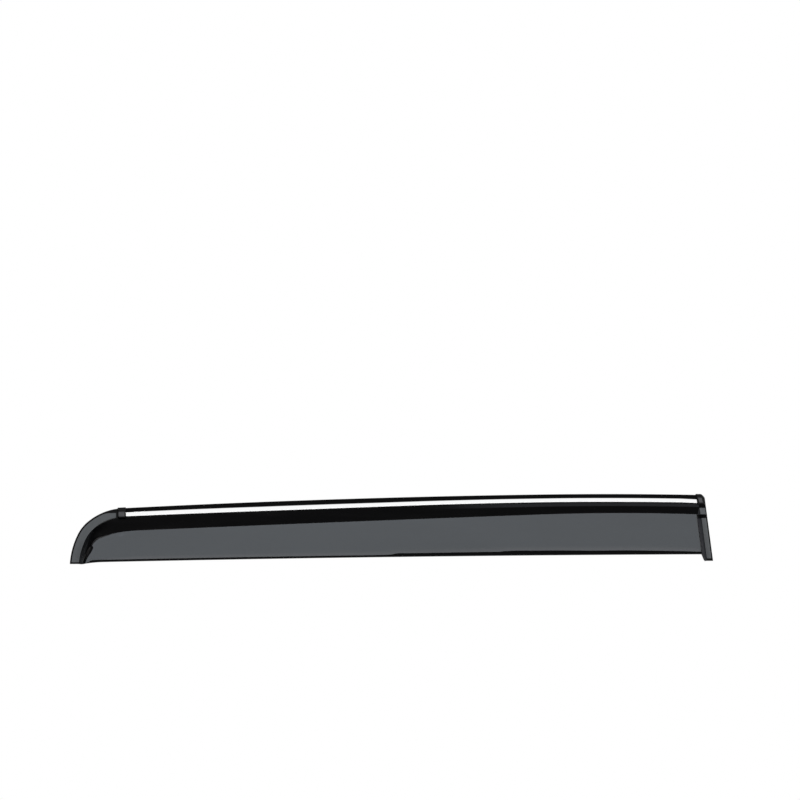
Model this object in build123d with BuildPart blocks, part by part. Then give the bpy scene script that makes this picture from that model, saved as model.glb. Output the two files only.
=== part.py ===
from build123d import *
import math
import os

# Rear door rain deflector with a bright trim strip, two end clips and mounting tape.
# The deflector stands as it is fitted: X runs along the door, +Z is up and the outer face looks
# along -Y. The back of the mounting tape lies on the door frame, in the plane Y = 0.
# The origin is on the back of the tape, near the tape's middle line, at half the length.
# Drops and rises are heights from that line, gaps are distances from an end of the deflector,
# and depths are taken from the door frame outwards.

# Flange outline, seen from outside the door
length = 827.6
curved_end_drop = 79.3
corner_knee_gap = 10.7
corner_knee_drop = 40.4
corner_crown_gap = 22.5
corner_crown_drop = 25.5
corner_start_gap = 67.6
corner_start_drop = 7.5
arc_join_gap = 222.0
arc_join_rise = 10.2
crown_gap = 135.6
crown_rise = 10.8
foot_lean = 11.2
foot_top_rise = 9.5
foot_top_radius = 4.0
foot_drop = 75.2

# Flange section
foot_flange_width = 8.1
flange_thickness = 2.6
flange_edge_radius = 1.6

# Mounting tape
tape_thickness = 1.1
tape_width = 7.0
tape_clip_gap = 0.5
tape_gap = 3.0
corner_tape_end_gap = 3.0
foot_tape_width = 4.8
foot_tape_inset = 1.6
foot_tape_end_gap = 3.0

# Drop panel: its plane, then its edge from the curved end to the foot
panel_depth = 15.0
panel_level = 22.3
panel_lean = 13.0
panel_toe_gap = 17.2
panel_toe_reach = 2.2
panel_knee_gap = 31.9
panel_knee_drop = 52.3
panel_bend_gap = 40.6
panel_bend_drop = 44.4
panel_top_gap = 85.6
panel_top_drop = 35.9
panel_mid_gap = 373.9
panel_mid_drop = 23.9
panel_join_drop = 15.6
panel_heel_top_gap = 20.0
panel_heel_top_drop = 14.8
panel_heel_gap = 13.9
panel_heel_rise = 8.4

# Lower edge, seen from outside the door
toe_gap = 16.0
toe_turn_gap = 44.4
toe_turn_rise = 2.7
lower_edge_bow = 1.9
foot_heel_gap = 10.3

# Moulding
wall = 2.6
end_wall_slope = 75.0
rim_radius = 1.5
panel_edge_radius = 2.0
lip_height = 2.6
lip_return = 3.0
run_out = 15.0
edge_match = 0.01

# Step pad at the top of the pillar foot
pad_drop = 6.4
pad_height = 8.8
pad_thickness = 4.0
pad_ramp = 4.9

# Trim strip and its groove
strip_inset = 5.5
strip_width = 5.3
strip_ledge = 0.8
strip_thickness = 1.6
strip_edge_radius = 1.2
strip_clearance = 0.15
groove_depth = 0.5

# End clips
clip_wall = 1.3
clip_cover = 1.65
clip_back_gap = 0.3
clip_return = 1.8
clip_clearance = 0.15
clip_bevel_depth = 1.6
clip_corner_radius = 3.2
curved_clip_width = 11.6
curved_clip_bevel = 2.8
pillar_clip_width = 9.4
pillar_clip_setback = 0.6
pillar_clip_bevel = 1.9
strip_end_gap = 4.6

left_end = -length / 2
right_end = length / 2
flange_back = tape_thickness
flange_front = flange_back + flange_thickness
strip_back = flange_front - groove_depth
strip_proud = strip_thickness - groove_depth
strip_end_inset = strip_inset + strip_width
flange_width = strip_end_inset + strip_ledge
tape_inset = clip_return + tape_clip_gap
clip_depth = flange_front + strip_proud + clip_clearance + clip_cover
pad_front = flange_front + pad_thickness
panel_heel_drop = foot_drop - panel_heel_rise

# Slope of the shoulder where the arcs join, and what it makes of the wall at its two creases
lean_rate = math.tan(math.radians(panel_lean))
shoulder_run = arc_join_rise + panel_join_drop - flange_width
shoulder_depth = panel_depth - (panel_level - panel_join_drop) * lean_rate - flange_front
shoulder_slope = math.degrees(math.atan2(shoulder_depth, shoulder_run))
shoulder_crease_inset = wall * math.tan(math.radians((shoulder_slope - panel_lean) / 2))
end_crease_inset = wall * math.tan(math.radians(end_wall_slope / 2))
hollow_inset = flange_width + wall / math.sin(math.radians(shoulder_slope))
hollow_foot_inset = foot_flange_width + wall / math.sin(math.radians(end_wall_slope))
pad_root_inset = foot_flange_width + pad_thickness / math.tan(math.radians(end_wall_slope))
pad_reach = foot_lean + pad_root_inset
full_depth = panel_depth + (curved_end_drop + run_out) * lean_rate


def tangent_chain(edge, *points):
    """The edge, and arcs that go on from it through the points, each tangent to the one before."""
    chain = [edge]
    for point in points:
        chain.append(Edge.make_tangent_arc(chain[-1] @ 1, chain[-1] % 1, point))
    return chain


def line_chain(*points):
    """Straight edges from each point to the next."""
    return [Edge.make_line(start, end) for start, end in zip(points, points[1:])]


# Outer edge of the flange: tangent arcs from the pillar foot round to the curved end
foot_end = Vector(right_end, -foot_drop)
foot_top = Vector(right_end - foot_lean, foot_top_rise)
crown = Vector(right_end - crown_gap, crown_rise)
arc_join = Vector(right_end - arc_join_gap, arc_join_rise)
corner_start = Vector(left_end + corner_start_gap, -corner_start_drop)
corner_crown = Vector(left_end + corner_crown_gap, -corner_crown_drop)
corner_knee = Vector(left_end + corner_knee_gap, -corner_knee_drop)
curved_end = Vector(left_end, -curved_end_drop)
rear_edge = Edge.make_three_point_arc(foot_top, crown, arc_join)
flange_arcs = tangent_chain(rear_edge, corner_start, corner_crown, corner_knee, curved_end)
foot_top_run = rear_edge % 0
corner_run = flange_arcs[1] % 1
curved_end_run = flange_arcs[-1] % 1
foot_run = (foot_end - foot_top).normalized()

# Places of the clips and the strip along the door
clip_height = clip_wall + flange_width - clip_clearance
pillar_clip_middle = foot_top + foot_top_run * (pillar_clip_setback + pillar_clip_width / 2)
curved_clip_high = corner_start.X + curved_clip_width / 2
pillar_clip_low = pillar_clip_middle.X - pillar_clip_width / 2
strip_low = curved_clip_high - curved_clip_width + strip_end_gap
strip_high = pillar_clip_low + pillar_clip_width - strip_end_gap
strip_middle = (strip_low + strip_high) / 2
strip_span = strip_high - strip_low
foot_tape_top = pad_drop + pad_height

panel_plane = Plane(
    origin=(0, -panel_depth, -panel_level), x_dir=(1, 0, 0), z_dir=(0, -1, 0)
).rotated((-panel_lean, 0, 0))
lip_plane = panel_plane.offset(-wall - lip_return)


def edge_plane(point, along):
    """Plane on the door frame with its origin on the flange's edge and its x along that edge."""
    return Plane(origin=(point.X, 0, point.Y), x_dir=(along.X, 0, along.Y), z_dir=(0, -1, 0))


def inset_arc(edge, inset):
    """Start, middle and end of the same arc, drawn nearer to its centre by the inset."""
    center = edge.arc_center
    shrink = 1 - inset / edge.radius
    return [center + (edge @ t - center) * shrink for t in (0, 0.5, 1)]


def flange_outline(inset, foot_inset, reach=run_out):
    """Closed edges at an inset from the flange's outer edge, run out by a reach at the bottom."""
    arcs = [inset_arc(edge, inset) for edge in flange_arcs]
    heel_top = foot_top + Vector(foot_lean * inset / (foot_top_rise + foot_drop) - foot_inset, -inset)
    heel = foot_end - Vector(foot_inset, 0) + foot_run * reach
    toe = arcs[-1][-1]
    arcs[0][0] = heel_top
    sides = line_chain(toe, toe + curved_end_run * reach, heel, heel_top)
    return [Edge.make_three_point_arc(*points) for points in arcs] + sides


def edge_band(outer_inset, inner_inset):
    """Closed edges of a band along the flange's edge, from one inset to another."""
    outer = [inset_arc(edge, outer_inset) for edge in flange_arcs]
    inner = [inset_arc(edge, inner_inset) for edge in flange_arcs]
    ends = line_chain(outer[0][0], inner[0][0]) + line_chain(outer[-1][-1], inner[-1][-1])
    return [Edge.make_three_point_arc(*points) for points in outer + inner] + ends


def on_panel(x, drop):
    """Point of the panel's plane at a place along the door and a drop below the tape."""
    return Vector(x, (panel_level - drop) / math.cos(math.radians(panel_lean)))


def panel_outline(top_inset=0, end_inset=0):
    """Closed edges of the drop panel in its own plane, run out at the bottom."""
    toe = on_panel(left_end + panel_toe_gap + end_inset, curved_end_drop + panel_toe_reach)
    knee = on_panel(left_end + panel_knee_gap + end_inset, panel_knee_drop + top_inset)
    bend = on_panel(left_end + panel_bend_gap + end_inset, panel_bend_drop + end_inset)
    top = on_panel(left_end + panel_top_gap, panel_top_drop + top_inset)
    middle = on_panel(left_end + panel_mid_gap, panel_mid_drop + top_inset)
    join = on_panel(right_end - arc_join_gap, panel_join_drop + top_inset)
    heel_top = on_panel(right_end - panel_heel_top_gap - end_inset, panel_heel_top_drop + top_inset)
    heel = on_panel(right_end - panel_heel_gap - end_inset, panel_heel_drop)
    front = Edge.make_three_point_arc(join, middle, top)
    rear = Edge.make_tangent_arc(join, -(front % 0), heel_top)
    arcs = tangent_chain(front, bend, knee, toe)
    toe_end = toe + (arcs[-1] % 1) * run_out
    heel_end = heel + (heel - heel_top).normalized() * run_out
    return [rear] + arcs + line_chain(toe, toe_end, heel_end, heel_top)


def below_lower_edge(rise=0):
    """Closed edges round the space below the lower edge, seen from outside, raised by a rise."""
    toe_side = Vector(left_end - run_out, rise - curved_end_drop)
    toe = Vector(left_end + toe_gap, rise - curved_end_drop)
    toe_turn = Vector(left_end + toe_turn_gap, rise - curved_end_drop + toe_turn_rise)
    heel = Vector(right_end - panel_heel_gap, rise - panel_heel_drop)
    belly = (toe_turn + heel) / 2 + Vector(0, lower_edge_bow)
    foot_heel = Vector(right_end - foot_heel_gap, rise - foot_drop)
    foot_side = Vector(right_end + run_out, rise - foot_drop)
    deep = Vector(0, -3 * run_out)
    arcs = tangent_chain(Edge.make_three_point_arc(heel, belly, toe_turn), toe)
    return arcs + line_chain(toe, toe_side, toe_side + deep, foot_side + deep, foot_side, foot_heel, heel)


def foot_edge_at(drop, inset):
    """Point at a drop and an inset from the slanted outer edge of the pillar foot."""
    share = (foot_top_rise + drop) / (foot_top_rise + foot_drop)
    return Vector(foot_top.X + share * foot_lean - inset, -drop)


# Space below the lip's top and in front of its inner edge, where the lip is left standing
with BuildPart() as lip_space:
    with BuildSketch(Plane.XZ):
        with BuildLine():
            add(below_lower_edge(lip_height))
        make_face()
    extrude(amount=full_depth)
    split(bisect_by=lip_plane, keep=Keep.TOP)

# Hollow behind the panel, open at the back, and at the bottom behind the lip
with BuildPart() as hollow:
    with BuildSketch(Plane.XZ.offset(flange_front)) as hollow_rim:
        with BuildLine():
            add(flange_outline(hollow_inset, hollow_foot_inset))
        make_face()
    with BuildSketch(panel_plane.offset(-wall)):
        with BuildLine():
            add(panel_outline(shoulder_crease_inset, end_crease_inset))
        make_face()
    loft(ruled=True)
    extrude(hollow_rim.sketch, amount=-flange_front)
    add(lip_space.part, mode=Mode.SUBTRACT)

# Step pad on the pillar foot: a block with a ramp below, cut to the slant of the foot
with BuildPart() as step_pad:
    with BuildSketch(Plane.YZ.offset(right_end - pad_reach)):
        with BuildLine():
            Polyline(
                (-flange_front, -pad_drop),
                (-pad_front, -pad_drop),
                (-pad_front, -pad_drop - pad_height),
                (-flange_front, -pad_drop - pad_height - pad_ramp),
                close=True,
            )
        make_face()
    extrude(amount=pad_reach)
    with BuildSketch(Plane.XZ.offset(flange_front)):
        with BuildLine():
            Polyline(
                foot_edge_at(0, pad_root_inset),
                foot_edge_at(0, flange_edge_radius),
                foot_edge_at(foot_drop, flange_edge_radius),
                foot_edge_at(foot_drop, pad_root_inset),
                close=True,
            )
        make_face()
    extrude(amount=pad_thickness, mode=Mode.INTERSECT)

# Visor shell: flange plate, shoulder, panel, lip and pad as one moulding
with BuildPart() as visor_shell:
    with BuildSketch(Plane.XZ.offset(flange_back)):
        with BuildLine():
            add(flange_outline(0, 0, 2 * run_out))
        make_face()
    extrude(amount=flange_thickness)
    fillet(edges().filter_by(Axis.Y).sort_by(Axis.X)[-2], foot_top_radius)
    fillet(edges().group_by(Axis.Y)[0].sort_by(Axis.Z)[1:], flange_edge_radius)
    with BuildSketch(Plane.XZ.offset(flange_front)) as rim:
        with BuildLine():
            add(flange_outline(flange_width, foot_flange_width))
        make_face()
    with BuildSketch(panel_plane):
        with BuildLine():
            add(panel_outline())
        make_face()
    loft(ruled=True)
    rim_wire = rim.sketch.face().outer_wire()
    front_edges = faces().filter_by(Plane.XZ).sort_by(Axis.Y)[0].edges()
    rim_edges = front_edges.filter_by(lambda edge: rim_wire.distance_to(edge @ 0.5) < edge_match)
    fillet(rim_edges.sort_by(Axis.Z)[1:], rim_radius)
    with BuildSketch(Plane.XZ):
        with BuildLine():
            add(below_lower_edge())
        make_face()
    extrude(amount=full_depth, mode=Mode.SUBTRACT)
    fillet(faces().filter_by(panel_plane).edges(), panel_edge_radius)
    add(step_pad.part)
    add(hollow.part, mode=Mode.SUBTRACT)
    with BuildSketch(Plane.XZ.offset(strip_back)):
        with BuildLine():
            add(edge_band(strip_inset - strip_clearance, strip_end_inset + strip_clearance))
        make_face()
        with Locations((strip_middle, 0)):
            Rectangle(strip_span + 2 * strip_clearance, length, mode=Mode.INTERSECT)
    extrude(amount=groove_depth, mode=Mode.SUBTRACT)
visor_shell.part.label = "visor_shell"

# Trim strip: a bright band with rounded long edges, seated in the groove
with BuildPart() as trim_strip:
    with BuildSketch(Plane.XZ.offset(strip_back)):
        with BuildLine():
            add(edge_band(strip_inset, strip_end_inset))
        make_face()
        with Locations((strip_middle, 0)):
            Rectangle(strip_span, length, mode=Mode.INTERSECT)
    extrude(amount=strip_thickness)
    fillet(edges().group_by(Axis.Y)[0].filter_by(GeomType.CIRCLE), strip_edge_radius)
trim_strip.part.label = "trim_strip"


def end_clip(seat, width, bevel):
    """Bevelled cap hooked over the flange's edge, with a pocket for the end of the strip.

    The seat plane lies on the door frame, with its origin and its x on the flange's edge.
    """
    with BuildPart() as clip:
        with BuildSketch(seat.offset(clip_back_gap)):
            with Locations((0, clip_wall)):
                Rectangle(width, clip_height, align=(Align.CENTER, Align.MAX))
            fillet(vertices().group_by(Axis.Y)[-1], clip_corner_radius)
        extrude(amount=clip_depth - clip_back_gap)
        front = faces().sort_by(Axis.Y)[0]
        chamfer(front.edges().sort_by(Axis.Z)[1:], bevel, clip_bevel_depth, reference=front)
        with BuildSketch(seat.offset(flange_back - clip_clearance)):
            with Locations((0, clip_clearance)):
                Rectangle(2 * width, 2 * clip_height, align=(Align.CENTER, Align.MAX))
        extrude(amount=flange_thickness + 2 * clip_clearance, mode=Mode.SUBTRACT)
        with BuildSketch(seat):
            with Locations((0, -clip_return)):
                Rectangle(2 * width, 2 * clip_height, align=(Align.CENTER, Align.MAX))
        extrude(amount=flange_back, mode=Mode.SUBTRACT)
        with BuildSketch(seat.offset(flange_front)):
            with Locations((0, clip_clearance - strip_inset)):
                Rectangle(2 * width, strip_width + 2 * clip_clearance, align=(Align.CENTER, Align.MAX))
        extrude(amount=strip_proud + clip_clearance, mode=Mode.SUBTRACT)
    return clip


curved_seat = edge_plane(corner_start, -corner_run)
curved_end_clip = end_clip(curved_seat, curved_clip_width, curved_clip_bevel)
curved_end_clip.part.label = "curved_end_clip"
pillar_seat = edge_plane(pillar_clip_middle, -foot_top_run)
pillar_end_clip = end_clip(pillar_seat, pillar_clip_width, pillar_clip_bevel)
pillar_end_clip.part.label = "pillar_end_clip"


def band_tape(low_x, high_x):
    """Foam tape on the back of the flange between two places along the door."""
    with BuildPart() as tape:
        with BuildSketch(Plane.XZ):
            with BuildLine():
                add(edge_band(tape_inset, tape_inset + tape_width))
            make_face()
            with Locations((low_x, corner_tape_end_gap - curved_end_drop)):
                Rectangle(high_x - low_x, length, align=Align.MIN, mode=Mode.INTERSECT)
        extrude(amount=tape_thickness)
    return tape


upper_tape = band_tape(curved_clip_high, pillar_clip_low)
upper_tape.part.label = "upper_tape"
corner_tape = band_tape(left_end, curved_clip_high - tape_gap)
corner_tape.part.label = "corner_tape"

with BuildPart() as foot_tape:
    with BuildSketch(Plane.XZ):
        with BuildLine():
            Polyline(
                foot_edge_at(foot_tape_top, foot_tape_inset + foot_tape_width),
                foot_edge_at(foot_tape_top, foot_tape_inset),
                foot_edge_at(foot_drop - foot_tape_end_gap, foot_tape_inset),
                foot_edge_at(foot_drop - foot_tape_end_gap, foot_tape_inset + foot_tape_width),
                close=True,
            )
        make_face()
    extrude(amount=tape_thickness)
foot_tape.part.label = "foot_tape"

os.makedirs("parts", exist_ok=True)
export_step(visor_shell.part, "parts/visor_shell.step")
export_step(trim_strip.part, "parts/trim_strip.step")
export_step(curved_end_clip.part, "parts/curved_end_clip.step")
export_step(pillar_end_clip.part, "parts/pillar_end_clip.step")
export_step(upper_tape.part, "parts/upper_tape.step")
export_step(corner_tape.part, "parts/corner_tape.step")
export_step(foot_tape.part, "parts/foot_tape.step")
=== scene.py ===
import math

import bmesh
import bpy
import numpy as np
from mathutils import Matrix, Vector


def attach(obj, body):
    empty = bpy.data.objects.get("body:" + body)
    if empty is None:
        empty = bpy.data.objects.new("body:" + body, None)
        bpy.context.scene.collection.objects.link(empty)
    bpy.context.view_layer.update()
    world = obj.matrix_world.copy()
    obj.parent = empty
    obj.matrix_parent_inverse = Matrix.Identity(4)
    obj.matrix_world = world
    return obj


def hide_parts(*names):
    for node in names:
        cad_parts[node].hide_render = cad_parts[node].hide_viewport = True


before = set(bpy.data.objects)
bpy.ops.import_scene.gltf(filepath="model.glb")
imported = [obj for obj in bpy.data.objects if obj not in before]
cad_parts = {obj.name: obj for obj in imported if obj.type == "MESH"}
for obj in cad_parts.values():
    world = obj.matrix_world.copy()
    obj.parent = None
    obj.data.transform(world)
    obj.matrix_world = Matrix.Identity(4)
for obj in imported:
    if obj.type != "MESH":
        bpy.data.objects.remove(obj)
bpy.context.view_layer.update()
scene = bpy.context.scene
scene.view_settings.view_transform = "Standard"

# Sizes of the deflector in millimetres. X runs along the door, Z is up, and depths go outwards from
# the door frame, along -Y. Gaps are measured along X, from the end that is named.
MM = 0.001
LEFT, RIGHT = -413.8, 413.8
CROWN_GAP, CROWN_RISE, JOIN_GAP, JOIN_RISE = 135.6, 10.8, 222.0, 10.2
CURVED_END_DROP, FOOT_DROP, FOOT_LEAN, FOOT_RISE, FOOT_RADIUS = 79.3, 75.2, 11.2, 9.5, 6.0
FLANGE_BACK, FLANGE_FRONT, EDGE_RADIUS = 1.1, 3.7, 1.6
RIM_INSET, RIM_FOOT_INSET = 11.6, 8.1
HOLLOW_INSET, HOLLOW_FOOT_INSET = 16.22, 10.79
PANEL_DEPTH, PANEL_LEVEL, LEAN = 15.0, 22.3, math.radians(13.0)
WALL, LIP_HEIGHT, LIP_RETURN, LIP_ROUND = 2.6, 2.6, 3.0, 2.5
GROOVE_OUTER, GROOVE_INNER, GROOVE_DEPTH, GROOVE_ROOM = 5.35, 10.95, 0.5, 0.15
STRIP_INSET, STRIP_WIDTH, STRIP_BACK, STRIP_THICKNESS = 5.5, 5.3, 3.2, 1.6
STRIP_LOW, STRIP_HIGH = -347.4, 397.4
PAD_DROP, PAD_HEIGHT, PAD_RAMP, PAD_THICKNESS = 6.4, 8.8, 4.9, 4.0
CLIP_LEFT, CLIP_FRONT, CLIP_RISE, CLIP_BACK = -352.0, 6.6, 1.5, 0.3
CLIP_WALL, CLIP_SKIN, CLIP_ROOM, CLIP_RETURN = 1.15, 0.3, 0.15, 1.8
CLIP_REACH, CLIP_POCKET = 11.45, (5.0, 11.2)
CURVED_SEAT, PILLAR_SETBACK = np.array([-347.0, -7.7]), 6.6
RUN_OUT, DEEPEST, TINY = 15.0, 27.46, 1e-9
SAME_PLACE = 2e-6  # metres
SHELL_SMOOTH, STRIP_SMOOTH, CLIP_SMOOTH = 30, 50, 40  # degrees, over which an edge is sharp

# Corners of the flange and of the panel at the curved end, as (gap from the end, height)
FLANGE_CORNER = ((67.6, -7.5), (22.5, -25.5), (10.7, -40.4))
PANEL_CORNER = ((40.2, -43.5), (29.4, -51.8), (18.7, -81.5))

# The panel's other points: where its two upper arcs join, its upper arc's middle and end, its heel
PANEL_JOIN_Z, PANEL_MIDDLE, PANEL_START = -15.1, (373.9, -23.8), (85.6, -35.6)
HEEL_TOP_GAP, HEEL_TOP_Z, HEEL_GAP, HEEL_Z = 20.0, -14.9, 13.9, -66.8

# The lower edge: its flat toe, its turn into the belly, the belly's rise and heel, then the slant
TOE_GAP, TOE_TURN = 16.0, (44.4, -76.3)
BELLY_RISE, BELLY_HEEL_Z, SLANT_GAPS = 1.65, -66.4, (15.1, 11.9)


def turned(vector, angle):
    """A vector turned to the left by each angle of an array."""
    cos, sin = np.cos(angle), np.sin(angle)
    return np.stack([cos * vector[0] - sin * vector[1], sin * vector[0] + cos * vector[1]], axis=-1)


class Arc:
    """Arc that leaves start along heading and comes to end.

    Its point at t is centre + (start - centre) * (1 - inset / radius), turned by t times the whole
    turn, so an inset draws it to the left of its run.
    """

    def __init__(self, start, heading, end):
        self.start = np.array(start, float)
        self.heading = np.array(heading, float) / np.hypot(*heading)
        left = np.array([-self.heading[1], self.heading[0]])
        chord = np.array(end, float) - self.start
        self.radius = chord @ chord / (2 * (chord @ left))
        self.centre = self.start + left * self.radius
        self.turn = 2 * math.atan2(chord @ left, chord @ self.heading)

    def __call__(self, t, inset=0.0):
        across = turned(self.start - self.centre, t * self.turn)
        return self.centre + across * (1 - inset / self.radius)

    def heading_at(self, t):
        return turned(self.heading, np.array(t * self.turn))


def arc_through(start, middle, end):
    """Arc through three points: its centre is where the two chords' middle lines cross."""
    start, middle, end = (np.array(p, float) for p in (start, middle, end))
    chords = np.stack([middle - start, end - middle])
    middles = np.stack([middle + start, end + middle]) / 2
    centre = np.linalg.solve(chords, np.sum(chords * middles, axis=1))
    across = start - centre
    heading = np.array([-across[1], across[0]])
    return Arc(start, heading * np.sign(heading @ chords[0]), end)


def arc_chain(first, *points):
    """An arc, and arcs that go on from it through the points, each tangent to the one before."""
    chain = [first]
    for point in points:
        chain.append(Arc(chain[-1](1.0), chain[-1].heading_at(1.0), point))
    return chain


def line(start, end):
    """Straight run: start + t * (end - start), moved to its left by an inset."""
    start, end = np.array(start, float), np.array(end, float)
    run = end - start
    left = np.array([-run[1], run[0]]) / np.hypot(*run)
    return lambda t, inset=0.0: start + np.multiply.outer(t, run) + left * inset


def stay(point):
    """A point that holds still while its neighbours turn a corner."""
    return lambda t, inset=0.0: np.zeros_like(t)[..., None] + np.array(point, float)


def stretch(curve, low, high, inset=0.0):
    """The stretch of a curve between two of its own parameters, at an inset."""
    return lambda t, more=0.0: curve(low + (high - low) * t, inset + more)


def t_at_x(curve, x):
    """Parameter at which a curve that runs to the left passes a place along the door."""
    t = np.linspace(-0.1, 1.0, 4001)
    return float(np.interp(-x, -curve(t)[:, 0], t))


def along(chain, tau, inset=0.0):
    """Points of a chain: tau's whole part picks the curve, the rest is the curve's parameter."""
    index = np.clip(tau.astype(int), 0, len(chain) - 1)
    points = np.stack([curve(tau - index, inset) for curve in chain])
    return points[index, np.arange(tau.size)]


# Outer edge of the flange, from the bottom of the pillar foot, over the top, to the curved end
foot_end, foot_top = np.array([RIGHT, -FOOT_DROP]), np.array([RIGHT - FOOT_LEAN, FOOT_RISE])
foot_up = (foot_top - foot_end) / np.hypot(*(foot_top - foot_end))
rear_edge = arc_through(foot_top, (RIGHT - CROWN_GAP, CROWN_RISE), (RIGHT - JOIN_GAP, JOIN_RISE))
flange_arcs = arc_chain(
    rear_edge, *((LEFT + gap, z) for gap, z in FLANGE_CORNER), (LEFT, -CURVED_END_DROP)
)
top_left = rear_edge.heading
foot_turn = math.acos(foot_up @ top_left)
foot_cut = FOOT_RADIUS * math.tan(foot_turn / 2)
corner_low, corner_high = foot_top - foot_up * foot_cut, foot_top + top_left * foot_cut
outer = [
    line(foot_end - foot_up * RUN_OUT, corner_low),
    Arc(corner_low, foot_up, corner_high),
    stretch(rear_edge, t_at_x(rear_edge, corner_high[0]), 1.0),
    *flange_arcs[1:],
]


def flange_chain(inset, foot_inset):
    """Chain inside the flange's edge: insets of its arcs, and a run up the pillar foot."""
    lean = FOOT_LEAN * inset / (FOOT_RISE + FOOT_DROP)
    heel_top = foot_top + np.array([lean - foot_inset, -inset])
    rear = stretch(rear_edge, 0.0, 1.0, inset)
    return [
        line(foot_end - foot_up * RUN_OUT - np.array([foot_inset, 0.0]), heel_top),
        stay(heel_top),
        stretch(rear_edge, t_at_x(rear, heel_top[0]), 1.0, inset),
        *(stretch(arc, 0.0, 1.0, inset) for arc in flange_arcs[1:]),
    ]


def panel_chain(top_inset=0.0, end_inset=0.0):
    """Chain round the drop panel's edge, seen from outside, with insets from its top and ends."""
    join = (RIGHT - JOIN_GAP, PANEL_JOIN_Z - top_inset)
    middle, start = ((LEFT + gap, z - top_inset) for gap, z in (PANEL_MIDDLE, PANEL_START))
    front = arc_through(join, middle, start)
    heel_top = np.array([RIGHT - HEEL_TOP_GAP - end_inset, HEEL_TOP_Z - top_inset])
    heel = np.array([RIGHT - HEEL_GAP - end_inset, HEEL_Z])
    rear = Arc(join, -front.heading, heel_top)
    down = (heel - heel_top) / np.hypot(*(heel - heel_top))
    shares = ((0.7, -0.7), (1.0, -0.3), (1.0, 0.0))
    return [
        line(heel + down * RUN_OUT, heel_top),
        stay(heel_top),
        stretch(rear, 1.0, 0.0),
        *arc_chain(front, *(
            (LEFT + gap + along_x * end_inset, z + along_z * end_inset)
            for (gap, z), (along_x, along_z) in zip(PANEL_CORNER, shares)
        )),
    ]


# Lower edge, seen from outside: two tangent arcs, a slant up to the panel's heel and two flat ends
toe_end = LEFT + TOE_GAP
toe_turn = np.array([LEFT + TOE_TURN[0], TOE_TURN[1]])
heel = np.array([RIGHT - HEEL_GAP, BELLY_HEEL_Z])
slant_start, slant_end = (RIGHT - gap for gap in SLANT_GAPS)
belly_arc = arc_through(heel, (toe_turn + heel) / 2 + np.array([0.0, BELLY_RISE]), toe_turn)
toe_arc = arc_chain(belly_arc, (toe_end, -CURVED_END_DROP))[1]


def height_on(arc, x):
    """Height of an arc's upper half at each place: centre + sqrt(radius^2 - distance^2)."""
    return arc.centre[1] + np.sqrt(np.maximum(arc.radius**2 - (x - arc.centre[0]) ** 2, 0))


def lower_edge(x):
    """Height of the lower edge at each place along the door, piece by piece from the curved end."""
    toe, belly = height_on(toe_arc, x), height_on(belly_arc, x)
    slant = np.interp(x, [slant_start, slant_end], [heel[1], -FOOT_DROP])
    before = [x < toe_end, x < toe_turn[0], x < slant_start]
    return np.select(before, [-CURVED_END_DROP, toe, belly], slant)


def lip_line(x):
    """Height of the black line above the lip's rounding, wider in two steps towards the pillar."""
    before = [(-390, 1.1), (-360, 0.5), (-30, 0.4), (-8, 0.6), (1, 0.9)]
    first_step = [(6.5, 2.6), (17, 2.3), (44, 2.4), (102, 2.65), (127, 2.8), (141, 2.85)]
    second_step = [(145.5, 3.6), (160, 4.1), (185, 3.9), (217, 3.8), (256, 3.2), (300, 3.3)]
    run_out = [(346, 2.5), (372, 1.85), (395, 1.1)]
    return np.interp(x, *zip(*before, *first_step, *second_step, *run_out))


def strip_sides(x):
    """Insets of the strip's sides: it lies lower and wider before the middle, higher after it."""
    places = [-347, -323, -246, -169, -91, -14, 63, 140, 217, 295, 372, 397]
    upper = [0, -0.42, -0.13, 0.31, 0.35, 0.30, -0.26, -0.58, -0.72, -0.70, -0.75, 0]
    lower = [0, 0.36, 0.82, 1.21, 1.29, 0.81, 0.12, -0.35, -0.48, -0.42, -0.50, 0]
    start, end = STRIP_INSET, STRIP_INSET + STRIP_WIDTH
    return start + np.interp(x, places, upper), end + np.interp(x, places, lower)


def panel_y(z, behind=0.0):
    """Y of the panel's plane at each height, or of a plane behind it at a square distance."""
    return -(PANEL_DEPTH - (z + PANEL_LEVEL) * math.tan(LEAN)) + behind / math.cos(LEAN)


def placed(points, y):
    """Points (x, z) of a chain set at a depth: (x, y, z)."""
    return np.stack([points[:, 0], np.broadcast_to(y, points.shape[:1]), points[:, 1]], axis=-1)


def mix(a, b, share):
    """Straight mix of two rows of points: a + share * (b - a)."""
    return a + (b - a) * np.reshape(share, (-1, 1)) if np.ndim(share) else a + (b - a) * share


def bend(a, corner, b, s):
    """Rounded corner: the conic (1-s)^2 a + 2 w s (1-s) corner + s^2 b, over its weights' sum.

    With w half the chord over the side, it is a circle's arc where both sides are as long.
    """
    side = np.linalg.norm(a - corner, axis=1) + np.linalg.norm(b - corner, axis=1)
    w = (np.linalg.norm(a - b, axis=1) / np.maximum(side, TINY))[:, None]
    near, mid, far = (1 - s) ** 2, 2 * w * s * (1 - s), s**2
    return (near * a + mid * corner + far * b) / (near + mid + far)


def reach(a, b, length):
    """Point at a length from a on the way to b, never past the middle."""
    run = b - a
    size = np.linalg.norm(run, axis=1, keepdims=True)
    return a + run * np.minimum(np.reshape(length, (-1, 1)) / np.maximum(size, TINY), 0.5)


rim_chain = flange_chain(RIM_INSET, RIM_FOOT_INSET)
hollow_chain = flange_chain(HOLLOW_INSET, HOLLOW_FOOT_INSET)
panel_edge = panel_chain()
panel_field = panel_chain(top_inset=0.4, end_inset=1.2)
inner_edge = panel_chain(top_inset=0.5, end_inset=2.0)

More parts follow.
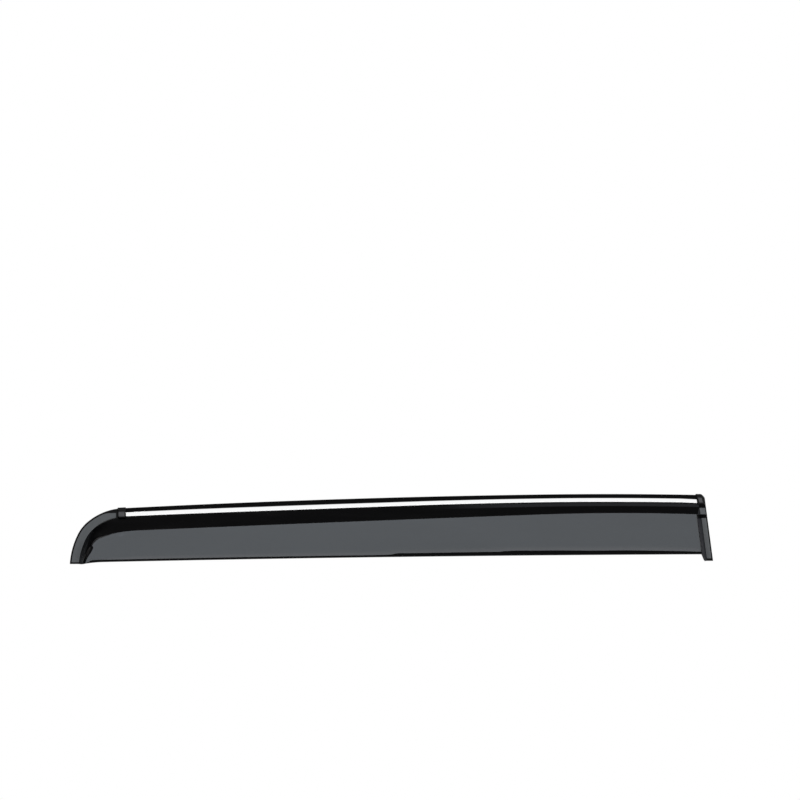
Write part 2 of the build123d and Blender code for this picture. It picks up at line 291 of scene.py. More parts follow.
# Places on a chain: 0 to 1 up the foot, 1 to 2 its corner, 2 to 4 the top, 4 to 7 the curved end.
# The lengths of the creases' roundings change between them.
TURNS = [0, 1, 2, 4, 5, 6, 7]
CREASE_LENGTHS = [1.2, 1.2, 0.5, 0.5, 0.9, 1.2, 1.2]
RIDGE_LENGTHS = [1.5, 1.5, 0.4, 0.4, 1.0, 1.5, 1.5]
FOOT_BEND, END_BEND = 1.5, 4.5


def outer_rim(tau):
    """Crease between flange and shoulder."""
    return placed(along(rim_chain, tau), -FLANGE_FRONT)


def outer_panel_edge(tau):
    """Crease between shoulder and panel, on the panel's plane."""
    points = along(panel_edge, tau)
    return placed(points, panel_y(points[:, 1]))


def field_edge(tau):
    """Edge of the panel's flat field, where the rounding of the crease ends."""
    points = along(panel_field, tau)
    points[:, 0] += end_margin(points[:, 1]) * (tau > END_BEND)
    return placed(points, panel_y(points[:, 1]))


def end_margin(z):
    """Width of the black margin at the panel's curved end: from the bend a step, then a taper."""
    heights = [-80, -74.8, -70.9, -67.0, -63.2, -59.3, -57.8, -56.4, -55.0, -46.0, -43.5]
    return np.interp(z, heights, [0.4, 1.3, 2.3, 3.3, 4.5, 4.4, 4.2, 2.8, 0.7, 0.5, 0])


def hollow_edge(tau):
    """Inner crease, a wall behind the panel's."""
    points = along(inner_edge, tau)
    behind = np.array([0, WALL * math.cos(LEAN), -WALL * math.sin(LEAN)])
    return placed(points, panel_y(points[:, 1])) + behind


def edge_row(angle):
    """Row of the flange's rounded outer edge: inset r(1 - cos), depth growing by r sin."""
    inset = EDGE_RADIUS * (1 - math.cos(angle))
    depth = FLANGE_FRONT - EDGE_RADIUS + EDGE_RADIUS * math.sin(angle)
    return lambda tau: placed(along(outer, tau, inset), -depth)


def rim_lifted(tau, lift):
    """The rim, moved up the wall to the front of the step pad where there is a lift."""
    rim, edge = outer_rim(tau), outer_panel_edge(tau)
    return mix(rim, edge, PAD_THICKNESS * lift / (rim[:, 1] - edge[:, 1]))


def flange_row(share, sunk):
    """Row of the flange's face at a share of the way from its rounded edge to the rim.

    The share may be a function of the place along the door. In the groove the row is sunk, and on
    the step pad it is raised.
    """
    def row(tau, lift, groove):
        edge = edge_row(math.pi / 2)(tau)
        edge[:, 1] -= PAD_THICKNESS * lift
        start = reach(rim_lifted(tau, lift), edge, np.interp(tau, TURNS, CREASE_LENGTHS))
        points = mix(edge, start, share(edge[:, 0]) if callable(share) else share)
        points[:, 1] += GROOVE_DEPTH * groove * sunk
        return points
    return row


def crease_row(s):
    """Row of the rounded valley between flange and shoulder."""
    def row(tau, lift, groove):
        rim = rim_lifted(tau, lift)
        end = reach(rim, outer_panel_edge(tau), np.interp(tau, TURNS, CREASE_LENGTHS))
        return bend(flange_row(1.0, 0)(tau, lift, groove), rim, end, s)
    return row


def wall_row(w):
    """Row of the shoulder: straight rulings from the rim's rounding to the panel's rounding."""
    def row(tau, lift, groove):
        return mix(crease_row(1.0)(tau, lift, groove), ridge_row(0.0)(tau, lift, groove), w)
    return row


def ridge_row(s):
    """Row of the rounded crease between shoulder and panel."""
    def row(tau, lift, groove):
        edge = outer_panel_edge(tau)
        start = reach(edge, outer_rim(tau), np.interp(tau, TURNS, RIDGE_LENGTHS))
        return bend(start, edge, field_edge(tau), s)
    return row


def inner_row(w):
    """Row of the shoulder's inside, from the inner crease back to the hollow's rim."""
    return lambda tau: mix(hollow_edge(tau), placed(along(hollow_chain, tau), -FLANGE_FRONT), w)


def plain_row(points):
    """A row that knows nothing of pad or groove."""
    return lambda tau, lift, groove: points(tau)


def back_row(chain):
    """Row along a chain, on the flange's back."""
    return plain_row(lambda tau: placed(along(chain, tau), -FLANGE_BACK))


# Samples along the chain. On the foot they follow the step pad: flange, ramp, pad, step, flange.
PAD_LIFT = np.concatenate([np.zeros(14), [0.5, 1, 1, 1, 1], np.zeros(5)])
EVEN_SHARES, PAD_STEP = np.array([0, 0.75, 0.82, 0.94, 1]), 0.02
TAU_TOP = np.concatenate([
    np.linspace(1, 2, 9)[1:], np.linspace(2, 3, 41)[1:], np.linspace(3, 4, 101)[1:],
    np.linspace(4, 5, 31)[1:], np.linspace(5, 6, 15)[1:],
])
END_SHARE = np.linspace(0, 1, 29)[1:]
LIFT = np.concatenate([PAD_LIFT, np.zeros(TAU_TOP.size + END_SHARE.size)])

# Samples at which the ramp starts, the pad starts and ends, the foot's corner ends, the panel's
# columns begin to fan out and the curved end's facet starts
RAMP_START, PAD_START, PAD_END, FOOT_END, FAN_START, END_FACET_START = 13, 15, 18, 30, 171, 176
FINE = 2001
LAST_TURN, LAST_REACH = 6, 0.9999


def trimmed(row, follow):
    """Samples of a row, cut where it meets the lower edge at the foot and at the curved end.

    Each end's crossing is found on a fine run of the row. On the foot, follow mixes the pad's own
    heights (1) with even steps in height (0), and each sample is found on the row at its own lift.
    """
    fine, none = np.linspace(0, 1, FINE), np.zeros(FINE)
    foot, tip = row(fine, none, none), row(LAST_TURN + fine * LAST_REACH, none, none)
    start = np.interp(0, foot[:, 2] - lower_edge(foot[:, 0]), fine)
    end = np.interp(0, lower_edge(tip[:, 0]) - tip[:, 2], fine * LAST_REACH)
    low, high = np.interp(start, fine, foot[:, 2]), foot[-1, 2]
    pad_low = -(PAD_DROP + PAD_HEIGHT)
    pad = np.array([low, pad_low - PAD_RAMP, pad_low, -PAD_DROP, high])
    even = low + (high - low) * EVEN_SHARES
    knots = even + (pad - even) * follow
    heights = np.concatenate([
        np.linspace(knots[0], knots[1], 14), np.linspace(knots[1], knots[2], 3)[1:],
        np.linspace(knots[2], knots[3], 4)[1:], np.linspace(knots[3] + PAD_STEP, knots[4], 5),
    ])
    lifts = np.unique(PAD_LIFT)
    on_row = [np.interp(heights, row(fine, none + lift, none)[:, 2], fine) for lift in lifts]
    tau_foot = np.select([PAD_LIFT == lift for lift in lifts], on_row)
    return np.concatenate([tau_foot, TAU_TOP, LAST_TURN + end * END_SHARE])


def fanned(points):
    """Place along the door of the foot of each of the panel's columns.

    They run straight down, but from the clip to the curved end they fan out: there the foot's place
    goes from the clip's to the end's with the square of the sample's share.
    """
    x = points[:, 0]
    share = np.clip((np.arange(len(x)) - FAN_START) / (len(x) - 1 - FAN_START), 0, 1) ** 2
    return np.where(share > 0, x[FAN_START] + (x[-1] - x[FAN_START]) * share, x)


def row_points(row, follow=0.0):
    """A row's points on its own samples, with the groove only between the strip's ends."""
    tau = trimmed(row, follow)
    x = along(outer, tau)[:, 0]
    groove = (x > STRIP_LOW - GROOVE_ROOM) & (x < STRIP_HIGH + GROOVE_ROOM) & (tau > FOOT_BEND)
    return row(tau, LIFT, groove.astype(float))


ORDER = ["edge", "face", "crease", "wall", "ridge", "panel", "lip", "inside", "back"]
FACE_END, GROOVE_LIMIT = RIM_INSET - 0.5, 0.985


def face_share(inset):
    """Share of the way across the flange's face at an inset from its edge, short of the crease."""
    return np.minimum((inset - EDGE_RADIUS) / (FACE_END - EDGE_RADIUS), GROOVE_LIMIT)


def groove_outer(x):
    """Share across the flange's face at which the groove starts, above the strip."""
    return face_share(strip_sides(x)[0] - GROOVE_ROOM)


def groove_inner(x):
    """Share across the flange's face at which the groove ends, below the strip."""
    return face_share(strip_sides(x)[1] + GROOVE_ROOM)


def panel_row(x, z, behind=0.0):
    """Points on the panel's plane, or behind it at a square distance."""
    return np.stack([x, panel_y(z, behind), z], axis=-1)


def shell_rows():
    """All rows of the shell's closed section in order round it, with each one's zone and place.

    From the flange's back corner over its rounded edge, its face, the shoulder, the panel and the
    lip, then back inside. The panel's columns run down from its field's edge to the lip. The place
    counts zones from 0 with the share of the zone's rows before this one, so the face is 1 to 2.
    """
    rows, zones, section = [], [], []
    quarters, fifths = (0.0, 0.25, 0.5, 0.75), (0.0, 0.2, 0.4, 0.6, 0.8)

    def put(points, zone, part):
        rows.append(points)
        zones.append(zone)
        section.append(ORDER.index(zone) + part)

    put(row_points(back_row(outer)), "edge", 0)
    for angle in np.linspace(0, math.pi / 2, 6):
        put(row_points(plain_row(edge_row(angle)), 1), "edge", 0.2 + 0.8 * angle / (math.pi / 2))
    put(row_points(flange_row(0.0, 0), 1), "face", 0)
    for side, inset, sunk in (
        (groove_outer, GROOVE_OUTER, 0), (groove_outer, GROOVE_OUTER, 1),
        (groove_inner, GROOVE_INNER, 1), (groove_inner, GROOVE_INNER, 0),
    ):
        put(row_points(flange_row(side, sunk), 1), "face", face_share(inset))
    for s in quarters:
        put(row_points(crease_row(s), 1), "crease", s)
    for w in fifths:
        put(row_points(wall_row(w), 1 - w), "wall", w)
    for s in quarters:
        put(row_points(ridge_row(s)), "ridge", s)
    field = row_points(plain_row(field_edge))
    inner = row_points(plain_row(hollow_edge))
    x = fanned(field)
    low = lower_edge(x)
    bottom = panel_row(x, low)
    lip_end = bottom + np.array([0, LIP_ROUND, 0])
    high = np.minimum(low + LIP_ROUND * math.cos(LEAN), field[:, 2])
    lip_start = panel_row(x, high)
    line_start = panel_row(x, np.minimum(high + lip_line(x), field[:, 2]))
    for s in np.linspace(0, 1, 9)[:-1]:
        put(mix(field, line_start, s), "panel", s)
    put(line_start, "lip", 0)
    for s in fifths:
        put(bend(lip_start, bottom, lip_end, s), "lip", 0.1 + s * 0.4)
    put(lip_end, "lip", 0.5)
    x = fanned(inner)
    low = lower_edge(x)
    high = np.minimum(low + LIP_HEIGHT, inner[:, 2])
    put(panel_row(x, low, WALL + LIP_RETURN), "lip", 0.7)
    put(panel_row(x, high, WALL + LIP_RETURN), "lip", 0.9)
    shelf = panel_row(x, high, WALL)
    for s in np.linspace(0, 1, 5)[:-1]:
        put(mix(shelf, inner, s), "inside", s)
    for w in (0.0, 0.33, 0.67, 1.0):
        put(row_points(plain_row(inner_row(w))), "inside" if w < 0.5 else "back", w)
    put(row_points(back_row(hollow_chain)), "back", 1)
    rows = np.stack(rows)
    rows[..., 1] = np.maximum(rows[..., 1], -DEEPEST)
    return rows, zones, np.array(section)


def swept_piece(name, rows, materials, smooth_angle, face_slots=None, section=None):
    """Piece whose closed section is carried along a run, with two caps.

    rows[i, j] is point i of the section at sample j, in millimetres, and the quads lie between
    neighbouring rows and samples. Each quad may have a material slot of its own, and each row a
    place round the section, which the finishes read.
    """
    count, samples = rows.shape[:2]
    number = np.arange(count * samples).reshape(count, samples)
    after = np.roll(number, -1, axis=0)
    quads = np.stack([number[:, :-1], number[:, 1:], after[:, 1:], after[:, :-1]], axis=-1)
    caps = [number[:, 0].tolist(), number[::-1, -1].tolist()]
    slots = np.zeros((count, samples - 1)) if face_slots is None else face_slots
    mesh = bpy.data.meshes.new(name)
    mesh.from_pydata((rows.reshape(-1, 3) * MM).tolist(), [], quads.reshape(-1, 4).tolist() + caps)
    for material in materials:
        mesh.materials.append(material)
    mesh.polygons.foreach_set("material_index", np.append(slots.ravel(), [0, 0]).astype(np.int32))
    if section is not None:
        place = mesh.attributes.new("section", "FLOAT", "POINT")
        place.data.foreach_set("value", np.repeat(section, samples).astype(np.float32))
    work = bmesh.new()
    work.from_mesh(mesh)
    bmesh.ops.remove_doubles(work, verts=work.verts, dist=SAME_PLACE)
    bmesh.ops.dissolve_degenerate(work, edges=work.edges, dist=SAME_PLACE / 2)
    bmesh.ops.recalc_face_normals(work, faces=work.faces)
    work.to_mesh(mesh)
    work.free()
    mesh.shade_smooth()
    mesh.set_sharp_from_angle(angle=math.radians(smooth_angle))
    piece = bpy.data.objects.new(name, mesh)
    scene.collection.objects.link(piece)
    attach(piece, "root")
    return piece


class Finish:
    """A procedural finish: a principled shader, the piece's coordinates and a few short calls."""

    def __init__(self, name, rough, shine, metal=0.0, clear=0.0):
        self.material = bpy.data.materials.new(name)
        self.material.use_nodes = True
        self.tree = self.material.node_tree
        self.shader = self.tree.nodes["Principled BSDF"]
        levels = {
            "Roughness": rough, "Specular IOR Level": shine,
            "Metallic": metal, "Transmission Weight": clear,
        }
        for socket, value in levels.items():
            self.shader.inputs[socket].default_value = value
        self.place = self.node("ShaderNodeTexCoord").outputs["Object"]
        split = self.node("ShaderNodeSeparateXYZ")
        self.tree.links.new(self.place, split.inputs[0])
        self.x, self.y, self.z = split.outputs
        band = self.node("ShaderNodeAttribute")
        band.attribute_name = "section"
        self.section = band.outputs["Fac"]

    def node(self, kind, **settings):
        made = self.tree.nodes.new(kind)
        for key, value in settings.items():
            setattr(made, key, value)
        return made

    def feed(self, source, socket):
        """Link an output to a socket, or set the socket to a constant."""
        if isinstance(source, bpy.types.NodeSocket):
            self.tree.links.new(source, socket)
        else:
            socket.default_value = (*source, 1) if isinstance(source, tuple) else source

    def math(self, operation, a, b=0.0):
        made = self.node("ShaderNodeMath", operation=operation)
        self.feed(a, made.inputs[0])
        self.feed(b, made.inputs[1])
        return made.outputs[0]

    def both(self, first, *more):
        """Product of masks: where all of them hold."""
        for mask in more:
            first = self.math("MULTIPLY", first, mask)
        return first

    def rise(self, value, low, high, out_low=0.0, out_high=1.0):
        """Smooth rise from out_low to out_high while a value goes from low to high."""
        made = self.node("ShaderNodeMapRange", interpolation_type="SMOOTHSTEP")
        for source, socket in zip((value, low, high, out_low, out_high), made.inputs):
            self.feed(source, socket)
        return made.outputs[0]

    def above(self, value, limit, soft):
        """Mask of the places where a value is over a limit, over a soft width."""
        return self.rise(self.math("SUBTRACT", value, limit), -soft, soft)

    def below(self, value, limit, soft):
        """Mask of the places where a value is under a limit, over a soft width."""
        return self.rise(self.math("SUBTRACT", limit, value), -soft, soft)

    def noise(self, scale, detail=2.0, stretch=(1, 1, 1)):
        """Noise with so many waves a metre, drawn out along an axis whose stretch is under 1."""
        turn = self.node("ShaderNodeMapping")
        self.tree.links.new(self.place, turn.inputs["Vector"])
        turn.inputs["Scale"].default_value = stretch
        made = self.node("ShaderNodeTexNoise")
        self.tree.links.new(turn.outputs[0], made.inputs["Vector"])
        made.inputs["Scale"].default_value = scale
        made.inputs["Detail"].default_value = detail
        return made.outputs["Fac"]

    def blend(self, share, under, over, way="MIX"):
        """One colour over another, by a share or a mask."""
        made = self.node("ShaderNodeMix", data_type="RGBA", blend_type=way)
        self.feed(share, made.inputs["Factor"])
        self.feed(under, made.inputs["A"])
        self.feed(over, made.inputs["B"])
        return made.outputs["Result"]

    def shade(self, colour, field, low, high):
        """A colour times a grey that goes from low to high with a noise field."""
        return self.blend(1.0, colour, self.rise(field, 0.3, 0.7, low, high), "MULTIPLY")

    def done(self, colour, rough=None, height=None, depth=0.0):
        """Wire the colour, the roughness and a bump whose height is a depth in metres."""
        self.feed(colour, self.shader.inputs["Base Color"])
        if rough is not None:
            self.feed(rough, self.shader.inputs["Roughness"])
        if height is not None:
            bump = self.node("ShaderNodeBump")
            bump.inputs["Distance"].default_value = depth
            self.feed(height, bump.inputs["Height"])
            self.tree.links.new(bump.outputs[0], self.shader.inputs["Normal"])
        return self.material


BAND_BLACK = (0.0011, 0.0011, 0.0013)
FACET_BLACK = (0.0015, 0.0015, 0.0017)
# The clips' paler grey is a painted highlight on their fronts.
CLIP_BLACK, CLIP_HIGHLIGHT_GREY = (0.0030, 0.0030, 0.0032), (0.0640, 0.0640, 0.0675)


def moulded(finish, colour, smooth, dull):
    """Moulded acrylic: long flow marks in its tint, rub marks in its gloss and orange peel."""
    flow = finish.noise(9, 3, (0.25, 1, 1))
    rub = finish.noise(60, 5, (0.2, 1, 1.6))
    peel = finish.noise(170, 1)
    colour = finish.shade(colour, flow, 0.93, 1.07)
    return finish.done(colour, finish.rise(rub, 0.35, 0.75, smooth, dull), peel, 0.00003)


def smoked_panel():
    """Smoked acrylic to look through: its tint is lighter along the band and above the lip, which
    are painted highlights.
    """
    finish = Finish("smoked_panel", 0.04, 0.45, clear=1.0)
    outside = finish.below(finish.section, 6.5, 0.1)
    # Lighter tint just under the band and just above the lip: painted highlights.
    under_band_highlight = finish.below(finish.section, 5.10, 0.10)
    over_lip_highlight = finish.both(outside, finish.above(finish.section, 5.92, 0.06))
    tint = finish.blend(under_band_highlight, (0.0505, 0.0575, 0.0650), (0.0560, 0.0635, 0.0735))
    tint = finish.blend(over_lip_highlight, tint, (0.0840, 0.0860, 0.0920))
    return moulded(finish, tint, 0.02, 0.06)


def band_black(name, shine):
    """Black of flange, shoulder and lip, with dust and a paler streak under the strip's rear half,
    which is a painted reflection.

    On the end wall a thin paler line runs beside the panel, and the lip's rounding is paler: both
    are painted highlights.
    """
    finish = Finish(name, 0.15, shine)
    # Paler streak on the shoulder under the strip's rear half: a painted reflection.
    reflection_streak = finish.both(
        finish.below(finish.section, 3.28, 0.06), finish.above(finish.section, 2.2, 0.2),
        finish.rise(finish.x, 0.03, 0.17),
    )
    run = finish.math("SUBTRACT", finish.section, finish.math("MULTIPLY", finish.z, 38.0))
    # Thin paler line on the end wall beside the panel: a painted highlight.
    end_wall_highlight = finish.both(
        finish.above(run, 6.48, 0.05), finish.below(run, 6.65, 0.05),
        finish.below(finish.x, -0.380, 0.002),
        finish.below(finish.z, -0.0570, 0.0004), finish.above(finish.z, -0.0760, 0.002),
    )
    dust = finish.rise(finish.noise(900, 1), 0.72, 0.80, 0.0, 0.25)
    colour = finish.blend(dust, BAND_BLACK, (0.008, 0.008, 0.008))
    colour = finish.blend(reflection_streak, colour, (0.0130, 0.0136, 0.0152))
    colour = finish.blend(end_wall_highlight, colour, (0.0240, 0.0225, 0.0215))
    # Paler lip rounding: a painted highlight.
    lip_highlight = finish.both(
        finish.above(finish.section, 6.28, 0.06), finish.below(finish.section, 6.6, 0.05)
    )
    colour = finish.blend(lip_highlight, colour, (0.0220, 0.0220, 0.0230))
    return moulded(finish, colour, 0.10, 0.24)


def flange_facet():
    """Paler facet on the flange's two ends, with black borders.

    At the curved end it tapers towards the clip; on the foot it stops above the bottom edge.
    """
    finish = Finish("flange_facet", 0.2, 0.10)
    front = finish.below(finish.x, 0.0, 0.001)
    low = finish.rise(finish.x, -0.372, -0.350, 1.07, 1.42)
    high = finish.rise(finish.x, -0.362, -0.350, 1.99, 1.88)
    high = finish.math("ADD", high, finish.rise(finish.z, -0.040, -0.022, 0.75, 0.10))
    at_end = finish.both(
        front, finish.above(finish.section, low, 0.05), finish.below(finish.section, high, 0.04),
        finish.below(finish.x, -0.3543, 0.0006), finish.above(finish.z, -0.0770, 0.0004),
    )
    on_foot = finish.both(
        finish.above(finish.x, 0.0, 0.001), finish.above(finish.section, 1.03, 0.04),
        finish.below(finish.section, 2.40, 0.10), finish.above(finish.z, -0.0719, 0.0005),
    )
    colour = finish.blend(at_end, FACET_BLACK, (0.0800, 0.0850, 0.0900))
    colour = finish.blend(on_foot, colour, (0.0940, 0.0990, 0.1040))
    return moulded(finish, colour, 0.14, 0.30)


def pad_facet():
    """Paler face of the step pad."""
    finish = Finish("pad_facet", 0.2, 0.10)
    face = finish.both(
        finish.below(finish.section, 2.00, 0.10), finish.below(finish.z, -0.0072, 0.0004),
        finish.above(finish.z, -0.0153, 0.0004),
    )
    colour = finish.blend(face, FACET_BLACK, (0.0850, 0.0900, 0.0950))
    return moulded(finish, colour, 0.16, 0.32)


def foot_wall():
    """Dark grey end wall between panel and pillar foot, black above the step pad, and black below
    it as painted shade under the pad.
    """
    finish = Finish("foot_wall", 0.2, 0.03)
    by_pad = finish.both(
        finish.below(finish.z, -0.0085, 0.0006), finish.above(finish.z, -0.0155, 0.0006)
    )
    # The black between the grey beside the pad and the low grey is painted shade under the step
    # pad.
    grey = finish.math("MAXIMUM", by_pad, finish.below(finish.z, -0.0207, 0.0006))
    colour = finish.blend(grey, BAND_BLACK, (0.0205, 0.0212, 0.0243))
    return moulded(finish, colour, 0.45, 0.60)


def strip_chrome():
    """Bright plating: polishing lines along the strip and a few duller rub marks."""
    finish = Finish("strip_chrome", 0.06, 0.5, metal=1.0)
    lines = finish.noise(2200, 2, (0.01, 1, 1))
    rub = finish.noise(45, 4, (0.3, 1, 1))
    colour = finish.shade((0.955, 0.960, 0.965), rub, 0.985, 1.0)
    return finish.done(colour, finish.rise(rub, 0.4, 0.8, 0.04, 0.13), lines, 0.000002)


def clip_black(name, highlight_x, highlight_z, slant, depth):
    """Satin moulded clip: fine grain all over, and a paler facet on its front, a painted highlight.

    The painted highlight is a slanted box in the front's plane, with soft edges.
    """
    finish = Finish(name, 0.45, 0.12)
    run = finish.math("ADD", finish.x, finish.math("MULTIPLY", finish.z, slant))
    # Mask of the painted highlight on the clip's front.
    facet = finish.both(
        finish.below(finish.y, -depth * MM, 0.0002),
        finish.above(run, highlight_x[0] * MM, 0.0005), finish.below(run, highlight_x[1] * MM, 0.0005),
        finish.above(finish.z, highlight_z[0] * MM, 0.0009),
        finish.below(finish.z, highlight_z[1] * MM, 0.0009),
    )
    grain = finish.noise(1900, 2)
    colour = finish.shade(finish.blend(facet, CLIP_BLACK, CLIP_HIGHLIGHT_GREY), grain, 0.9, 1.1)
    return finish.done(colour, finish.rise(grain, 0.3, 0.7, 0.36, 0.56), grain, 0.00004)


def tape_foam():
    """Closed-cell foam: fine cells in its height, cloudy greys, no gloss."""
    finish = Finish("tape_foam", 0.9, 0.2)
    cells = finish.node("ShaderNodeTexVoronoi", distance="EUCLIDEAN")
    finish.tree.links.new(finish.place, cells.inputs["Vector"])
    cells.inputs["Scale"].default_value = 1700
    cloud = finish.noise(220, 3)
    colour = finish.shade((0.045, 0.045, 0.048), cloud, 0.8, 1.2)
    rough = finish.rise(cloud, 0.3, 0.7, 0.82, 0.96)
    return finish.done(colour, rough, cells.outputs["Distance"], 0.0001)


def dress(node, material):
    """Give a part that keeps its own solid its finish."""
    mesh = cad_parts[node].data
    mesh.materials.clear()
    mesh.materials.append(material)


foam = tape_foam()
for node in ("upper_tape", "corner_tape", "foot_tape"):
    dress(node, foam)

# The shell: each zone of the section takes its finish, and so do the two ends of the flange, the
# step pad and the end wall beside the foot
rows, zones, section = shell_rows()
finishes = [
    band_black("flange_black", 0.04), flange_facet(), smoked_panel(), pad_facet(), foot_wall(),
    band_black("shoulder_gloss", 0.20),
]
BAND, FACET, PANEL, PAD, FOOT, GLOSS = range(6)
FACET_END = 2.6  # place round the section, in the crease
slots = np.full((rows.shape[0], rows.shape[1] - 1), BAND)
zone = np.array(zones)
sample = np.arange(rows.shape[1] - 1)
slots[np.isin(zone, ["panel", "inside"])] = PANEL
slots[np.isin(zone, ["wall", "ridge", "back"])] = GLOSS
face, ridge = (zone == "face")[:, None], (zone == "ridge")[:, None]
wall = np.isin(zone, ["crease", "wall", "ridge"])[:, None]
outer_crease = ((zone == "crease") & (section < FACET_END))[:, None]
on_pad = (sample >= PAD_START) & (sample < PAD_END)
middle_x = (rows[:, :-1, 0] + rows[:, 1:, 0]) / 2
slots[ridge & (sample >= FAN_START)] = BAND
# The step pad's ramp, below its face, keeps the black band's finish as painted shade under the pad.
slots[face & ((middle_x < CLIP_LEFT) | (sample < RAMP_START))] = FACET
slots[face & on_pad] = PAD
slots[wall & (sample < FOOT_END)] = FOOT
slots[outer_crease & ((sample < RAMP_START) | (sample >= END_FACET_START))] = FACET
slots[outer_crease & on_pad] = PAD
shell = swept_piece("smoked_shell", rows, finishes, SHELL_SMOOTH, slots, section)
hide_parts("visor_shell")


def strip_line(tau, across):
    """Points (x, z) of the strip at a place across it: the flange's edge + inset * inward step."""
    edge = along(outer, tau)
    upper, lower = strip_sides(edge[:, 0])
    inset = upper + (lower - upper) * (1 + across) / 2
    return edge + (along(outer, tau, 1.0) - edge) * inset[:, None]


def strip_rows():
    """Crowned section of the bright strip, carried along the flange's edge between the two clips.

    Across the strip, a from -1 to 1, the front stands out by the thickness times (1 - |a|^4)^(1/4).
    Its front end is rounded: there each row starts later, by half a width times 1 - sqrt(1 - a^2).
    """
    across = -np.cos(np.linspace(0, math.pi, 25))
    out = STRIP_THICKNESS * (1 - np.abs(across) ** 4) ** 0.25
    tau = np.linspace(1.9, 5, 8001)
    rows = []
    for a, depth in zip(across, out):
        low = STRIP_LOW + STRIP_WIDTH / 2 * (1 - math.sqrt(max(1 - a * a, 0)))
        run = np.interp(-np.linspace(STRIP_HIGH, low, 181), -strip_line(tau, a)[:, 0], tau)
        rows.append(placed(strip_line(run, a), -(STRIP_BACK + depth)))
    return np.stack(rows)


strip = swept_piece("bright_strip", strip_rows(), [strip_chrome()], STRIP_SMOOTH)
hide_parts("trim_strip")


def clip_rows(seat, run, width, corners, bevel, lean):
    """Section of an end clip, a hook over the flange's edge with a pocket for the strip.

    It is carried along the edge. At a place a across the width, the top falls at both corners as a
    circle's arc does. The front stands out by CLIP_RISE * E(side) * E(top), where E(q) is
    sqrt(1 - (1 - q)^2) of the distance from that side or the top, over the bevel. The lean moves
    each point along the edge by a share of its depth below it.
    """
    a = -width / 2 * np.cos(np.linspace(0, math.pi, 41))
    top = CLIP_WALL - sum(
        r - np.sqrt(r * r - np.clip(way * a - width / 2 + r, 0, r) ** 2)
        for way, r in zip((-1, 1), corners)
    )
    slot = np.minimum(CLIP_ROOM, top - CLIP_SKIN)
    side = np.sqrt(1 - (1 - np.minimum((width / 2 - np.abs(a)) / bevel, 1)) ** 2)
    base = CLIP_FRONT - CLIP_RISE
    seat_front, seat_back = FLANGE_FRONT + CLIP_ROOM, FLANGE_BACK - CLIP_ROOM
    pocket = STRIP_BACK + STRIP_THICKNESS + CLIP_ROOM
    section = [(-CLIP_RETURN, CLIP_BACK), (top, CLIP_BACK)]
    for angle in np.linspace(0, math.pi / 2, 8):
        height = top - bevel * (1 - math.cos(angle))
        section.append((height, base + CLIP_RISE * math.sin(angle) * side))
    section += [
        (-CLIP_REACH, base + CLIP_RISE * side), (-CLIP_REACH, seat_front),
        (-CLIP_POCKET[1], seat_front), (-CLIP_POCKET[1], pocket),
        (-CLIP_POCKET[0], pocket), (-CLIP_POCKET[0], seat_front),
        (slot, seat_front), (slot, seat_back), (-CLIP_RETURN, seat_back),
    ]
    up = np.array([-run[1], run[0]])
    rows = []
    for height, depth in section:
        height = np.broadcast_to(height, a.shape)
        rows.append(placed(seat + np.outer(a - lean * height, run) + np.outer(height, up), -depth))
    return np.stack(rows)


curved_run = -flange_arcs[1].heading_at(1.0)
curved_rows = clip_rows(
    CURVED_SEAT, curved_run, width=10.4, corners=(0.5, 0.5), bevel=2.4, lean=0.0
)
curved_finish = clip_black(
    "clip_at_curved_end", highlight_x=(-350.9, -343.2), highlight_z=(-17.9, -12.2), slant=0.0,
    depth=CLIP_FRONT - 0.5,
)
curved_clip = swept_piece("curved_clip", curved_rows, [curved_finish], CLIP_SMOOTH)
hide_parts("curved_end_clip")

pillar_seat = foot_top + top_left * PILLAR_SETBACK
pillar_rows = clip_rows(
    pillar_seat, -top_left, width=9.4, corners=(0.6, 3.4), bevel=1.9, lean=0.2
)
pillar_finish = clip_black(
    "clip_at_pillar", highlight_x=(395.9, 400.5), highlight_z=(0.0, 6.0), slant=0.29,
    depth=CLIP_FRONT - 1.4,
)
pillar_clip = swept_piece("pillar_clip", pillar_rows, [pillar_finish], CLIP_SMOOTH)
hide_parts("pillar_end_clip")

camera = bpy.data.objects.new("camera", bpy.data.cameras.new("camera"))
scene.collection.objects.link(camera)
camera.data.lens = 300
camera.data.sensor_width = 36
camera.data.clip_end = 100
camera.location = (0.0110, -8.579, 0.1317)
camera.rotation_euler = (math.radians(90), 0, 0)
scene.camera = camera


LAMP_SIZE = 1.6


def soft_lamp(name, place, power):
    """Square soft lamp at a place, turned towards the part's origin."""
    lamp = bpy.data.objects.new(name, bpy.data.lights.new(name, "AREA"))
    lamp.data.size = LAMP_SIZE
    lamp.data.energy = power
    lamp.location = place
    lamp.rotation_euler = (-Vector(place)).to_track_quat("-Z", "Y").to_euler()
    scene.collection.objects.link(lamp)


soft_lamp("key_lamp", (-1.6, -2.4, 2.6), 60)
soft_lamp("fill_lamp", (2.2, -2.0, 1.8), 35)
soft_lamp("back_lamp", (0.4, 2.6, 2.2), 40)

# White room: full white to the eye and through glass, gentler as light on the part, and in gloss
# white round the horizon, with a darker ceiling and a darker wall on the left
world = bpy.data.worlds.new("studio")
scene.world = world
world.use_nodes = True
room = world.node_tree


def room_node(kind, inputs, **settings):
    """Node of the room's light, with its inputs linked or set in order."""
    made = room.nodes.new(kind)
    for key, value in settings.items():
        setattr(made, key, value)
    for source, socket in zip(inputs, made.inputs):
        if isinstance(source, bpy.types.NodeSocket):
            room.links.new(source, socket)
        else:
            socket.default_value = source
    return made.outputs


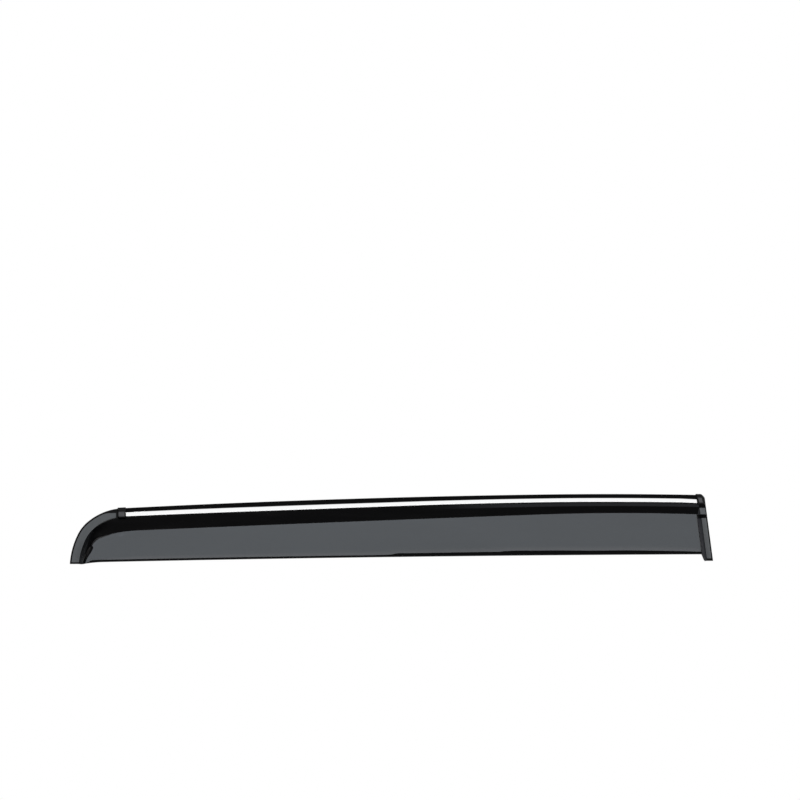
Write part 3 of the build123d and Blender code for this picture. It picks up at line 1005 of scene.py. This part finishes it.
def room_math(operation, *inputs):
    """Sum, product or the like of the room's values."""
    return room_node("ShaderNodeMath", inputs, operation=operation)[0]


def room_fade(*inputs, kind="SMOOTHSTEP"):
    """Change of a value from one range to another: value, low, high, out at low, out at high."""
    return room_node("ShaderNodeMapRange", inputs, interpolation_type=kind)[0]


ray = room_node("ShaderNodeLightPath", ())
way = room_node("ShaderNodeSeparateXYZ", (room_node("ShaderNodeTexCoord", ())["Generated"],))
ceiling = room_fade(way[2], 0.50, 0.85, 1.0, 0.15)
left_wall = room_fade(way[0], -0.65, -0.25, 0.02, 1.0)
gloss = room_math("MULTIPLY", ceiling, left_wall)
seen = room_math("MAXIMUM", ray["Is Camera Ray"], ray["Is Transmission Ray"])
plain_level = room_fade(seen, 0.0, 1.0, 0.65, 1.0, kind="LINEAR")
change = room_math("SUBTRACT", gloss, plain_level)
strength = room_math("MULTIPLY_ADD", ray["Is Glossy Ray"], change, plain_level)
room.links.new(strength, room.nodes["Background"].inputs["Strength"])
room.nodes["Background"].inputs["Color"].default_value = (1, 1, 1, 1)

FLOOR_LEVEL, FLOOR_SIDE, FLOOR_FRONT, FLOOR_REAR = -0.45, 1.6, -1.5, 0.9


def studio_floor():
    """Pale floor below the part: a flat sheet with faint clouds, where the shadow falls."""
    corners = [
        (-FLOOR_SIDE, FLOOR_FRONT, FLOOR_LEVEL), (FLOOR_SIDE, FLOOR_FRONT, FLOOR_LEVEL),
        (FLOOR_SIDE, FLOOR_REAR, FLOOR_LEVEL), (-FLOOR_SIDE, FLOOR_REAR, FLOOR_LEVEL),
    ]
    mesh = bpy.data.meshes.new("studio_floor")
    mesh.from_pydata(corners, [], [(0, 1, 2, 3)])
    finish = Finish("floor_paper", 0.9, 0.1)
    cloud = finish.noise(3, 3)
    colour = finish.shade((0.92, 0.92, 0.92), cloud, 0.99, 1.0)
    mesh.materials.append(finish.done(colour, None, cloud, 0.0002))
    sheet = bpy.data.objects.new("studio_floor", mesh)
    scene.collection.objects.link(sheet)


studio_floor()
